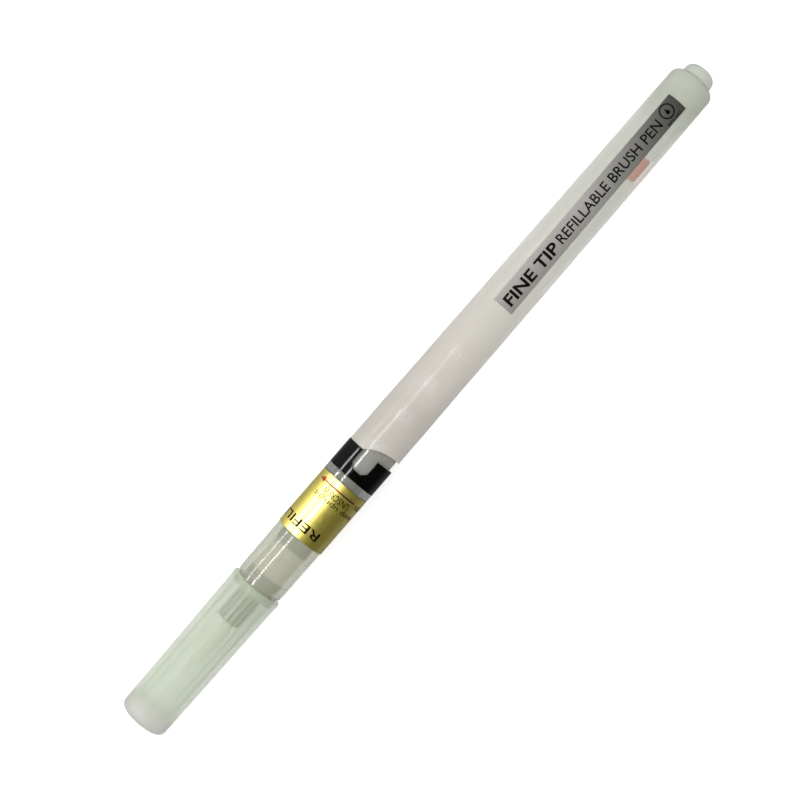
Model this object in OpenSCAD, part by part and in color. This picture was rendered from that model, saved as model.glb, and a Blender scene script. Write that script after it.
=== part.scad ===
// Refillable brush pen.
// A soft squeeze barrel screws onto a clear front section, which feeds fluid
// through a felt regulator and a capillary tube to a filament brush. A black
// spacer ring sits between the two, and a push-on cap covers the brush.
//
// Every part is turned about the pen's axis. Profiles are lists of
// [radius, station] points, where a station is the distance from the closed
// end of the cap. The pen lies on its side with the cap towards -X, and the
// origin is under the middle of its length.

/* [Overall] */
// Length of the capped pen
pen_len = 178; // [172:1:190]
// Facets per turn in the preview
facets = 64; // [32:8:128]

/* [Cap] */
// Length of the cap
cap_len = 36.8; // [36:0.1:38]
// Outer radius at the closed end
cap_end_r = 5.42; // [5.3:0.02:5.5]
// Outer radius just behind the lip
cap_mouth_r = 5.78; // [5.7:0.02:5.82]
// Outer radius of the rounded lip, the thickest place on the pen
cap_lip_r = 5.92; // [5.9:0.02:6.2]
// Corner radius at the closed end
cap_corner_r = 1.25; // [0.75:0.25:2.5]
// Thickness of the closed end
cap_floor = 3.4; // [1.5:0.1:3.6]
// Number of ribs inside the cap
cap_ribs = 8; // [4:1:12]

/* [Brush] */
// Length of brush that stands out of the nozzle
brush_out = 15; // [12:0.5:18]
// Radius of the brush where it is held
brush_r = 1.8; // [1.5:0.1:1.8]
// Radius of the brush at its belly
brush_belly_r = 2.25; // [1.9:0.05:2.5]
// Length of nozzle that stands out of the grip
nozzle_out = 7.4; // [6.5:0.1:8]
// Outer radius of the nozzle
nozzle_r = 2.7; // [2.5:0.05:2.75]
// Number of flutes round the nozzle
nozzle_flutes = 12; // [6:1:14]

/* [Grip] */
// Length of the spigot that the cap pushes onto
spigot_len = 2.6; // [2.4:0.1:3.2]
// Radius of that spigot
spigot_r = 4.88; // [4.7:0.02:4.9]
// Radius of the grip at its front shoulder
grip_front_r = 5.34; // [5.2:0.02:5.4]
// Radius of the grip just ahead of the label
grip_rear_r = 5.46; // [5.4:0.02:5.48]
// Pitch of the fine rings round the grip
grip_ring_pitch = 0.7; // [0.6:0.05:1]
// Height of those rings
grip_ring_height = 0.06; // [0.03:0.01:0.1]

/* [Wrap label] */
// Length of the foil label round the front section
wrap_len = 14.4; // [10:0.2:14.4]
// Thickness of the foil
foil = 0.12; // [0.08:0.01:0.13]

/* [Joint] */
// Outer radius of the neck's collar
collar_r = 5.65; // [5.6:0.01:5.67]
// Length of that collar
collar_len = 1.8; // [1.5:0.1:2.2]
// Outer radius of the spacer ring
ring_r = 5.68; // [5.64:0.01:5.7]
// Length of the spacer ring
ring_len = 6.2; // [5.5:0.1:6.5]
// Width of the notch in the spacer ring
notch_w = 4.16; // [3:0.1:5]
// Depth of the notch, along the pen
notch_depth = 4.3; // [3:0.1:4.8]
// Pitch of the screw thread
thread_pitch = 2; // [1.8:0.1:2.2]
// Turns of thread on the neck
neck_turns = 2.75; // [2:0.25:2.75]
// Turns of thread in the barrel
barrel_turns = 2; // [1:0.25:2]

/* [Barrel] */
// Outer radius at the mouth
barrel_front_r = 5.6; // [5.5:0.02:5.7]
// Outer radius at the tail
barrel_tail_r = 5.12; // [5:0.02:5.3]
// Wall thickness
barrel_wall = 0.85; // [0.8:0.01:0.9]
// Corner radius at the tail
tail_corner_r = 1.8; // [1:0.1:2]
// Radius of the tail plug's knob
knob_r = 3.47; // [3.2:0.05:3.6]
// Length of the knob
knob_len = 2.8; // [2:0.1:3.5]

/* [Barrel labels] */
// Length of the strip label
strip_len = 55.2; // [40:0.2:58]
// Angle that the strip label covers
strip_angle = 51; // [40:1:60]
// Distance from the strip label to the pen's tail
strip_from_tail = 9.5; // [8:0.5:12]
// Angle from the top of the barrel to the middle of the strip label
strip_middle = 2.25; // [0:0.25:10]
// Length of the small sticker on the underside
sticker_len = 5.8; // [3:0.2:8]
// Angle that the sticker covers
sticker_angle = 62; // [30:2:90]
// Angle from the top of the barrel to the middle of the sticker
sticker_middle = 159; // [120:1:240]

/* [Hidden] */

$fn = facets;

gap = 0.05;            // clearance between pieces that only touch
foil_gap = 0.01;       // the same under a label
axis_height = cap_lip_r;

// stations along the pen
shoulder_z = cap_len + 0.5;
spigot_z = shoulder_z - spigot_len;
nozzle_z = spigot_z - nozzle_out;
brush_z = nozzle_z - brush_out;
collar_z = shoulder_z + 27.3;
wrap_z = collar_z - wrap_len;
ring_z = collar_z + collar_len;
mouth_z = ring_z + ring_len + gap;
tail_z = pen_len - knob_len;
strip_z = pen_len - strip_from_tail - strip_len;

// cap
cap_bore_r = 4.96;
snug_z = spigot_z - 0.6;            // front of the bore that grips the spigot
cap_lip_round = 0.6;
cap_cavity_top_r = 4.7;
cap_cavity_end_r = 4.36;
cap_cavity_corner_r = 1.5;
rib_w = 0.4;
rib_inner_r = 4;
rib_len = 28;
snap_z = shoulder_z - 1.5;
snap_h = 0.05;
snap_half = 0.35;

// brush and nozzle
tube_r = 0.6;
tube_bore_r = 0.3;
tube_hole_r = tube_r + gap;
tube_front_z = nozzle_z - 5;
tuft_root_z = nozzle_z + 5.6;
base_len = 1.2;
nozzle_wall_z = spigot_z + 1;       // back of the grip's front wall
flange_r = 3.9;
flange_len = 1.4;
nozzle_back_z = nozzle_wall_z + 2;
flute_r = 0.35;

// grip
front_bore_r = 4;
rear_bore_r = 4.3;
rear_bore_z = shoulder_z + 12.9;
grip_ring_count = floor((wrap_z - shoulder_z - 1.4) / grip_ring_pitch);
wrap_seat_r = 5.52;

// regulator stack
front_retainer_z = nozzle_back_z + 0.1;
felt_z = front_retainer_z + 1.95;
felt_len = 7.4;
felt_r = 3.8;
rear_retainer_z = felt_z + felt_len + gap;
rear_retainer_len = 2.3;
felt_feed_depth = 4;

// neck
neck_front_z = collar_z - 12.6;
neck_r = 4.95;
neck_bore_r = 2.4;
neck_end_z = mouth_z + 4.85;
core_r = 4.1;
nose_z = mouth_z + 14.35;
nose_taper = 0.8;
o_ring_z = mouth_z + 3.75;
o_ring_section_r = 0.45;
o_ring_r = neck_r + 0.08 - o_ring_section_r;
groove_half = 0.5;
orifice_len = 4;
orifice_r = 0.6;

// thread: the two ridges run half a pitch apart
ridge_base_w = 1.1;
ridge_crest_w = 0.6;
neck_crest_r = 4.6;
barrel_crest_r = 4.22;
neck_thread_z = mouth_z + 5.95;
barrel_thread_z = neck_thread_z + thread_pitch / 2;
ridge_root = 0.1;                   // how far a ridge is sunk into its wall
thread_steps = 36;                  // steps per turn
thread_runout = 0.25;               // turns over which a ridge fades out

// barrel
skirt_bore_r = 5.05;
skirt_len = 5.15;
skirt_chamfer = 0.35;
edge_chamfer = 0.15;
tail_wall = 1.2;
plug_hole_r = 2.6;
scallop_r = 9.74;
scallop_side = 4.3;
scallop_back = 7.3;
sticker_from_end = 16.8;

// ---- helpers ----

// Points on an arc in a [radius, station] profile.
function arc(centre, r, from, to, steps = 8) = [
    for (i = [0 : steps])
        let (a = from + (to - from) * i / steps)
            centre + r * [cos(a), sin(a)]
];

function mix(a, b, t) = a + (b - a) * t;

// Outer and inner radius of the barrel at a station.
function barrel_r(z) = mix(barrel_front_r, barrel_tail_r, (z - mouth_z) / (tail_z - mouth_z));
function barrel_bore_r(z) = barrel_r(z) - barrel_wall;

// Radius of the grip at a station, ahead of the label.
function grip_r(z) = mix(grip_front_r, grip_rear_r, (z - shoulder_z) / (wrap_z - shoulder_z));

// Lays the pen down: the local Z axis becomes the pen's axis along +X, local
// +X is up, and local +Y is the -Y side.
module on_pen_axis()
    translate([-pen_len / 2, 0, axis_height])
        rotate([0, 90, 0])
            rotate([0, 0, 180])
                children();

// A solid of revolution about the pen's axis.
module turned(profile) on_pen_axis() rotate_extrude() polygon(profile);

// A plain tube between two stations.
module tube(outer_r, inner_r, from, to)
    turned([[inner_r, from], [outer_r, from], [outer_r, to], [inner_r, to]]);

// A right-handed helical ridge with a trapezoidal section, which fades to
// nothing at both ends.
module thread_ridge(wall_r, crest_r, start_z, turns) {
    steps = ceil(turns * thread_steps);
    faded_r = mix(wall_r, crest_r, 0.15);
    function height_at(turn) = min(1, turn / thread_runout, (turns - turn) / thread_runout);
    function section(i) =
        let (
            turn = turns * i / steps,
            r = mix(faded_r, crest_r, max(0, height_at(turn))),
            z = start_z + turn * thread_pitch,
            a = 360 * turn,
            side = [cos(a), sin(a)]
        )
        [
            [wall_r * side.x, wall_r * side.y, z - ridge_base_w / 2],
            [r * side.x, r * side.y, z - ridge_crest_w / 2],
            [r * side.x, r * side.y, z + ridge_crest_w / 2],
            [wall_r * side.x, wall_r * side.y, z + ridge_base_w / 2]
        ];
    outward = crest_r > wall_r;
    points = [for (i = [0 : steps]) each section(i)];
    sides = [
        for (i = [0 : steps - 1], k = [0 : 3])
            let (a = 4 * i + k, b = 4 * i + (k + 1) % 4)
                each [[a, b, b + 4], [a, b + 4, a + 4]]
    ];
    last = 4 * steps;
    ends = [[3, 2, 1, 0], [last, last + 1, last + 2, last + 3]];
    faces = concat(sides, ends);
    polyhedron(points, outward ? faces : [for (f = faces) [for (i = [len(f) - 1 : -1 : 0]) f[i]]]);
}

// ---- cap ----

module cap() color("honeydew", 0.6) {
    lip_z = cap_len - cap_lip_round;
    corner = [cap_end_r - cap_corner_r, cap_corner_r];
    cavity_corner = [cap_cavity_end_r - cap_cavity_corner_r, cap_floor + cap_cavity_corner_r];
    turned(concat(
        [[0, 0]],
        arc(corner, cap_corner_r, -90, 0),
        [[cap_mouth_r, lip_z - 0.9]],
        arc([cap_lip_r - cap_lip_round, lip_z], cap_lip_round, -22.5, 90, 5),
        [[cap_bore_r + 0.1, cap_len], [cap_bore_r, cap_len - 0.1]],
        [
            [cap_bore_r, snap_z + 2 * snap_half],
            [cap_bore_r + 2 * snap_h, snap_z + snap_half],
            [cap_bore_r + 2 * snap_h, snap_z - snap_half],
            [cap_bore_r, snap_z - 2 * snap_half]
        ],
        [[cap_bore_r, snug_z], [cap_cavity_top_r, snug_z - 0.3]],
        arc(cavity_corner, cap_cavity_corner_r, 0, -90),
        [[0, cap_floor]]
    ));
    on_pen_axis()
        for (i = [0 : cap_ribs - 1])
            rotate([0, 0, i * 360 / cap_ribs])
                translate([rib_inner_r, -rib_w / 2, cap_floor + 1.6])
                    cube([0.8, rib_w, rib_len]);
}

// ---- brush ----

module bristle_tuft() color("linen") {
    belly_z = nozzle_z - 0.35 * brush_out;
    blend_z = nozzle_z - 0.75 * brush_out;
    turned([
        [0, brush_z],
        [0.25, brush_z + 0.6],
        [1.15, blend_z],
        [brush_belly_r - 0.2, mix(blend_z, belly_z, 0.55)],
        [brush_belly_r, belly_z],
        [brush_r, nozzle_z - 0.4],
        [brush_r, tuft_root_z],
        [tube_hole_r, tuft_root_z],
        [tube_hole_r, tube_front_z - 0.1],
        [0, tube_front_z - 0.1]
    ]);
}

module tuft_base() color("wheat")
    tube(brush_r + 0.2, tube_hole_r, tuft_root_z + gap, tuft_root_z + gap + base_len);

module nozzle() color("gainsboro", 0.7) {
    seat_r = brush_r + 0.25;
    seat_end_z = tuft_root_z + base_len + 2 * gap;
    difference() {
        turned([
            [brush_r + gap, nozzle_z],
            [nozzle_r - 0.25, nozzle_z],
            [nozzle_r, nozzle_z + 0.25],
            [nozzle_r, nozzle_wall_z + gap],
            [flange_r, nozzle_wall_z + gap],
            [flange_r, nozzle_wall_z + gap + flange_len],
            [nozzle_r, nozzle_wall_z + gap + flange_len],
            [nozzle_r, nozzle_back_z],
            [1.2, nozzle_back_z],
            [1.2, seat_end_z],
            [seat_r, seat_end_z],
            [seat_r, tuft_root_z],
            [brush_r + gap, tuft_root_z]
        ]);
        on_pen_axis()
            for (i = [0 : nozzle_flutes - 1])
                rotate([0, 0, i * 360 / nozzle_flutes])
                    translate([nozzle_r + 0.15, 0, nozzle_z - 1])
                        cylinder(h = nozzle_out + 0.5, r = flute_r);
    }
}

module feed_tube() color("white")
    tube(tube_r, tube_bore_r, tube_front_z, felt_z + felt_feed_depth);

// ---- regulator stack inside the grip ----

module front_retainer() color("dimgray")
    tube(front_bore_r - gap, 1.6, front_retainer_z, felt_z - gap);

module felt_regulator() color("seashell")
    turned([
        [tube_hole_r, felt_z],
        [felt_r - 0.2, felt_z],
        [felt_r, felt_z + 0.2],
        [felt_r, felt_z + felt_len - 0.2],
        [felt_r - 0.2, felt_z + felt_len],
        [0, felt_z + felt_len],
        [0, felt_z + felt_feed_depth + gap],
        [tube_hole_r, felt_z + felt_feed_depth + gap]
    ]);

module rear_retainer() color("dimgray")
    tube(front_bore_r - gap, 1.5, rear_retainer_z, rear_retainer_z + rear_retainer_len);

// ---- grip ----

module grip_shell() color("gainsboro", 0.6) {
    hole_r = nozzle_r + gap;
    step = grip_ring_pitch / 4;
    rings = [
        for (i = [0 : grip_ring_count - 1])
            let (z = shoulder_z + 0.8 + i * grip_ring_pitch, r = grip_r(z), top = r + grip_ring_height)
                each [[r, z], [top, z + step], [top, z + 2 * step], [r, z + 3 * step]]
    ];
    turned(concat(
        [[hole_r, spigot_z], [spigot_r - 0.4, spigot_z], [spigot_r, spigot_z + 0.4]],
        [
            [spigot_r, snap_z - snap_half],
            [spigot_r + snap_h, snap_z],
            [spigot_r, snap_z + snap_half]
        ],
        [[spigot_r, shoulder_z], [grip_front_r - edge_chamfer, shoulder_z]],
        [[grip_front_r, shoulder_z + edge_chamfer]],
        rings,
        [[grip_rear_r, wrap_z - 0.1], [wrap_seat_r, wrap_z]],
        [[wrap_seat_r, collar_z - gap], [rear_bore_r, collar_z - gap]],
        [[rear_bore_r, rear_bore_z], [front_bore_r, rear_bore_z]],
        [[front_bore_r, nozzle_wall_z], [hole_r, nozzle_wall_z]]
    ));
}

module wrap_label() color("gold")
    tube(wrap_seat_r + foil_gap + foil, wrap_seat_r + foil_gap, wrap_z, collar_z - gap);

// ---- joint between grip and barrel ----

module threaded_neck() color("silver", 0.7) {
    spigot_outer_r = rear_bore_r - 0.03;
    turned([
        [neck_bore_r, neck_front_z],
        [spigot_outer_r - 0.3, neck_front_z],
        [spigot_outer_r, neck_front_z + 0.3],
        [spigot_outer_r, collar_z],
        [collar_r, collar_z],
        [collar_r, ring_z],
        [neck_r, ring_z],
        [neck_r, o_ring_z - groove_half],
        [o_ring_r - o_ring_section_r - 0.02, o_ring_z - groove_half],
        [o_ring_r - o_ring_section_r - 0.02, o_ring_z + groove_half],
        [neck_r, o_ring_z + groove_half],
        [neck_r, neck_end_z - 0.3],
        [neck_r - 0.3, neck_end_z],
        [core_r, neck_end_z],
        [core_r, nose_z - nose_taper],
        [core_r - 0.3, nose_z],
        [neck_bore_r, nose_z]
    ]);
    on_pen_axis()
        thread_ridge(core_r - ridge_root, neck_crest_r, neck_thread_z, neck_turns);
}

module neck_o_ring() color("black")
    on_pen_axis()
        translate([0, 0, o_ring_z])
            rotate_extrude()
                translate([o_ring_r, 0])
                    circle(r = o_ring_section_r, $fn = 32);

module orifice_plug() color("white")
    turned([
        [orifice_r, nose_z - orifice_len],
        [neck_bore_r - 0.02, nose_z - orifice_len],
        [neck_bore_r - 0.02, nose_z],
        [1.6, nose_z],
        [orifice_r, nose_z - 1.5]
    ]);

module spacer_ring() color("black") {
    corner = 1.05;
    inner_r = neck_r + 0.03;
    from = ring_z + 0.03;
    to = ring_z + ring_len;
    edge = 0.12;
    notch_end = to - notch_depth;
    half = notch_w / 2;
    difference() {
        turned([
            [inner_r, from],
            [ring_r - edge, from],
            [ring_r, from + edge],
            [ring_r, to - edge],
            [ring_r - edge, to],
            [inner_r, to]
        ]);
        on_pen_axis()
            rotate([0, 90, 0])
                linear_extrude(ring_r + 1)
                    polygon([
                        [-to - 1, -half],
                        [-notch_end - corner, -half],
                        [-notch_end, -half + corner],
                        [-notch_end, half - corner],
                        [-notch_end - corner, half],
                        [-to - 1, half]
                    ]);
    }
}

// ---- barrel ----

module squeeze_barrel() color("whitesmoke", 0.8) {
    corner = [barrel_tail_r - tail_corner_r, tail_z - tail_corner_r];
    inner_corner_r = 1;
    inner_tail_z = tail_z - tail_wall;
    inner_corner = [barrel_bore_r(inner_tail_z) - inner_corner_r, inner_tail_z - inner_corner_r];
    skirt_z = mouth_z + skirt_len;
    difference() {
        turned(concat(
            [[skirt_bore_r, mouth_z], [barrel_front_r - edge_chamfer, mouth_z]],
            [[barrel_front_r, mouth_z + edge_chamfer]],
            arc(corner, tail_corner_r, 0, 90),
            [[plug_hole_r, tail_z], [plug_hole_r, inner_tail_z]],
            arc(inner_corner, inner_corner_r, 90, 0),
            [[barrel_bore_r(skirt_z), skirt_z + skirt_chamfer], [skirt_bore_r, skirt_z]]
        ));
        on_pen_axis()
            translate([0, scallop_side, mouth_z - scallop_back])
                rotate([0, 90, 0])
                    cylinder(h = 4 * barrel_front_r, r = scallop_r, center = true);
    }
    ridge_wall_r = barrel_bore_r(barrel_thread_z) + ridge_root;
    on_pen_axis()
        thread_ridge(ridge_wall_r, barrel_crest_r, barrel_thread_z, barrel_turns);
}

// A thin label that follows the barrel's taper. Its middle is turned from the
// top of the pen by an angle, towards the -Y side.
module curved_label(from, length, middle, angle) {
    to = from + length;
    inner = foil_gap;
    outer = foil_gap + foil;
    on_pen_axis()
        rotate([0, 0, middle - angle / 2])
            rotate_extrude(angle = angle)
                polygon([
                    [barrel_r(from) + inner, from],
                    [barrel_r(from) + outer, from],
                    [barrel_r(to) + outer, to],
                    [barrel_r(to) + inner, to]
                ]);
}

module strip_label() color("darkgray")
    curved_label(strip_z, strip_len, strip_middle, strip_angle);

module lot_sticker() color("indianred")
    curved_label(strip_z + strip_len - sticker_from_end, sticker_len, sticker_middle, sticker_angle);

module tail_plug() color("honeydew") {
    knob_corner_r = 1.9;
    barb_z = tail_z - tail_wall - gap;
    turned(concat(
        [[0, barb_z - 1.5], [plug_hole_r - 0.3, barb_z - 1.5], [plug_hole_r + 0.35, barb_z]],
        [[plug_hole_r - gap, barb_z], [plug_hole_r - gap, tail_z + 0.02]],
        [[knob_r, tail_z + 0.02]],
        arc([knob_r - knob_corner_r, pen_len - knob_corner_r], knob_corner_r, 0, 90),
        [[0, pen_len]]
    ));
}

cap();
bristle_tuft();
tuft_base();
nozzle();
feed_tube();
front_retainer();
felt_regulator();
rear_retainer();
grip_shell();
wrap_label();
threaded_neck();
neck_o_ring();
orifice_plug();
spacer_ring();
squeeze_barrel();
strip_label();
lot_sticker();
tail_plug();
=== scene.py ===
"""Refillable brush pen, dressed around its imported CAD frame.

The pen lies along X with the cap towards -X. An angle round the pen is measured from the top, towards
the -Y side. Outlines are lists of (station, radius) points, where a station is an X coordinate.
"""

import math
import random

import bmesh
import bpy
from mathutils import Matrix, Vector


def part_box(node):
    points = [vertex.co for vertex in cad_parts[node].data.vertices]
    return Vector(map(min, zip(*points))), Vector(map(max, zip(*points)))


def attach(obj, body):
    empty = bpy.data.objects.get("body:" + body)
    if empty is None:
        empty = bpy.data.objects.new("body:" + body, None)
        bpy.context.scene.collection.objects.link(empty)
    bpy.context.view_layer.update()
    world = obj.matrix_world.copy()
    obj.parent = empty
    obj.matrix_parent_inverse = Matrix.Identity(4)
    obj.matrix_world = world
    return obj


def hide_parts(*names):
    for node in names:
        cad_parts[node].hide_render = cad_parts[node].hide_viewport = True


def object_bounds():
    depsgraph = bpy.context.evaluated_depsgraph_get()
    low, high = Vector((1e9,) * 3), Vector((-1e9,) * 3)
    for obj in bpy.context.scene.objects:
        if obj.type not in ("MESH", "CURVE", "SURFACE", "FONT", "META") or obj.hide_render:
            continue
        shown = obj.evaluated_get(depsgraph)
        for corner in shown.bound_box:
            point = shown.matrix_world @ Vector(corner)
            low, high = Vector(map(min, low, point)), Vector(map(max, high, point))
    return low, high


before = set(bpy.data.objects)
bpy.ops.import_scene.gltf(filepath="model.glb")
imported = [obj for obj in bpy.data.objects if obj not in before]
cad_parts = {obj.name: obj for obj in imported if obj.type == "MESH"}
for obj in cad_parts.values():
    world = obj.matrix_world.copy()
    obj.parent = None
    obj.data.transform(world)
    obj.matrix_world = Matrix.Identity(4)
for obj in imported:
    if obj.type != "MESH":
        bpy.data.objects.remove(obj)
cad_low, cad_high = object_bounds()

MM = 0.001
SEGMENTS = 160  # facets round a turned piece
FRONT, TAIL = cad_low.x, cad_high.x
cap_low, cap_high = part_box("cap")
LIP_R = (cap_high.z - cap_low.z) / 2
AXIS_Z = cap_low.z + LIP_R


def ends(node):
    """First and last station of a CAD node."""
    low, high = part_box(node)
    return low.x, high.x


def radius_of(node):
    """Largest radius of a CAD node that is turned about the pen's axis."""
    low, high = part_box(node)
    return (high.z - low.z) / 2


CAP_END = ends("cap")[1]
NOZZLE_START = ends("nozzle")[0]
BRUSH_START, BRUSH_END = ends("bristle_tuft")
GRIP_START, GRIP_END = ends("grip_shell")
WRAP_START, WRAP_END = ends("wrap_label")
NECK_START, NECK_END = ends("threaded_neck")
RING_START, RING_END = ends("spacer_ring")
BARREL_START, BARREL_END = ends("squeeze_barrel")
STRIP_START, STRIP_END = ends("strip_label")
STICKER_START, STICKER_END = ends("lot_sticker")
PLUG_START, PLUG_END = ends("tail_plug")

SHOULDER = CAP_END + 0.5 * MM
COLLAR_START = WRAP_END + 0.05 * MM
COLLAR_END = RING_START - 0.03 * MM

WRAP_R = radius_of("wrap_label")
RING_R = radius_of("spacer_ring")
COLLAR_R = radius_of("threaded_neck")
BARREL_R = 5.6 * MM
BARREL_TAIL_R = 5.12 * MM
BARREL_WALL = 0.85 * MM
FOIL = 0.12 * MM
INK = 0.014 * MM  # how far printing stands out
LABEL_GAP = 0.01 * MM  # between the barrel and a label on it

THREAD_PITCH = 2 * MM
THREAD_BASE, THREAD_CREST = 1.1 * MM, 0.6 * MM  # width of the ridge at its foot and at its top
GOLDEN_ANGLE = math.radians(137.508)


# ---------------------------------------------------------------- geometry


def mix(a, b, t):
    return a + (b - a) * t


def smooth(t):
    """An even ease from 0 to 1."""
    t = min(1.0, max(0.0, t))
    return t * t * (3 - 2 * t)


def arc(station, radius, size, start, end, steps=8):
    """Points on a round stretch of an outline. Angle 0 points away from the axis, 90 towards the tail."""
    points = []
    for i in range(steps + 1):
        a = math.radians(mix(start, end, i / steps))
        points.append((station + size * math.sin(a), radius + size * math.cos(a)))
    return points


def place(station, radius, angle):
    """A point in the part's frame, with the angle in radians."""
    return Vector((station, -radius * math.sin(angle), AXIS_Z + radius * math.cos(angle)))


def add_object(name, bm, materials, sharp=35):
    """A smooth-shaded object from a bmesh, which is freed. Edges over the sharp angle stay crisp."""
    bmesh.ops.recalc_face_normals(bm, faces=bm.faces)
    mesh = bpy.data.meshes.new(name)
    bm.to_mesh(mesh)
    bm.free()
    for polygon in mesh.polygons:
        polygon.use_smooth = True
    mesh.set_sharp_from_angle(angle=math.radians(sharp))
    for material in materials:
        mesh.materials.append(material)
    obj = bpy.data.objects.new(name, mesh)
    bpy.context.scene.collection.objects.link(obj)
    return obj


def belongs(obj, body, slot, *nodes):
    """Puts a piece on its body and hides the CAD nodes that it stands for. The slot argument is not used."""
    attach(obj, body)
    if nodes:
        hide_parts(*nodes)


def turned(name, strokes, materials, shape=None, segments=SEGMENTS, sharp=35):
    """A closed solid of revolution. strokes is a list of (material index, points), which together make
    the outline; shape(station, radius, angle) may move a point."""
    outline = [(index, station, radius) for index, points in strokes for station, radius in points]
    bm = bmesh.new()
    rings = []
    for _, station, radius in outline:
        if radius < 1e-7:
            rings.append([bm.verts.new(place(station, 0, 0))])
            continue
        ring = []
        for k in range(segments):
            angle = 2 * math.pi * k / segments
            at = shape(station, radius, angle) if shape else (station, radius)
            ring.append(bm.verts.new(place(*at, angle)))
        rings.append(ring)
    for i, (index, _, _) in enumerate(outline):
        a, b = rings[i - 1], rings[i]
        if len(a) == 1 and len(b) == 1:
            continue
        for k in range(segments):
            n = (k + 1) % segments
            corners = [a[k % len(a)], a[n % len(a)], b[n % len(b)], b[k % len(b)]]
            face = bm.faces.new(list(dict.fromkeys(corners)))
            face.material_index = index
    return add_object(name, bm, materials, sharp)


def wrapped(name, sheets, thickness, to_pen, materials, step=0.15 * MM):
    """Flat outlines cut into narrow slices, laid on the pen by to_pen(x, y, height) and thickened.
    sheets is a list of bmesh objects in metres."""
    bm = bmesh.new()
    for sheet in sheets:
        part = bpy.data.meshes.new("sheet")
        sheet.to_mesh(part)
        sheet.free()
        bm.from_mesh(part)
        bpy.data.meshes.remove(part)
    low = min(v.co.y for v in bm.verts)
    high = max(v.co.y for v in bm.verts)
    for i in range(1, int((high - low) / step) + 1):
        geometry = bm.verts[:] + bm.edges[:] + bm.faces[:]
        bmesh.ops.bisect_plane(bm, geom=geometry, plane_co=(0, low + i * step, 0), plane_no=(0, 1, 0))
    flat = {v: (v.co.x, v.co.y) for v in bm.verts}
    extruded = bmesh.ops.extrude_face_region(bm, geom=bm.faces[:], use_keep_orig=True)
    upper = [g for g in extruded["geom"] if isinstance(g, bmesh.types.BMVert)]
    for v in upper:
        v.co = to_pen(v.co.x, v.co.y, thickness)
    for v, (x, y) in flat.items():
        v.co = to_pen(x, y, 0)
    return add_object(name, bm, materials, 60)


def words(text, height, width, bold=0.0):
    """Lettering as a flat sheet, its lower left corner at the origin, stretched to the given size."""
    curve = bpy.data.curves.new("lettering", "FONT")
    curve.body = text
    curve.offset = bold
    curve.resolution_u = 3
    obj = bpy.data.objects.new("lettering", curve)
    bpy.context.scene.collection.objects.link(obj)
    bpy.context.view_layer.update()
    mesh = bpy.data.meshes.new_from_object(obj.evaluated_get(bpy.context.evaluated_depsgraph_get()))
    bpy.data.objects.remove(obj)
    bpy.data.curves.remove(curve)
    bm = bmesh.new()
    bm.from_mesh(mesh)
    bpy.data.meshes.remove(mesh)
    low_x, high_x = min(v.co.x for v in bm.verts), max(v.co.x for v in bm.verts)
    low_y, high_y = min(v.co.y for v in bm.verts), max(v.co.y for v in bm.verts)
    for v in bm.verts:
        v.co.x = (v.co.x - low_x) / (high_x - low_x) * width
        v.co.y = (v.co.y - low_y) / (high_y - low_y) * height
        v.co.z = 0
    return bm


def outline_sheet(*outlines):
    """A flat sheet of one face for each outline."""
    bm = bmesh.new()
    for outline in outlines:
        bm.faces.new([bm.verts.new((x, y, 0)) for x, y in outline])
    return bm


def moved(sheet, x, y):
    """Shifts a flat sheet and gives it back."""
    for v in sheet.verts:
        v.co.x += x
        v.co.y += y
    return sheet


def turned_to_arc(sheet):
    """Turns a sheet a quarter, so that it reads round the pen."""
    for v in sheet.verts:
        v.co.x, v.co.y = -v.co.y, v.co.x
    return sheet


# ---------------------------------------------------------------- materials


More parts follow.
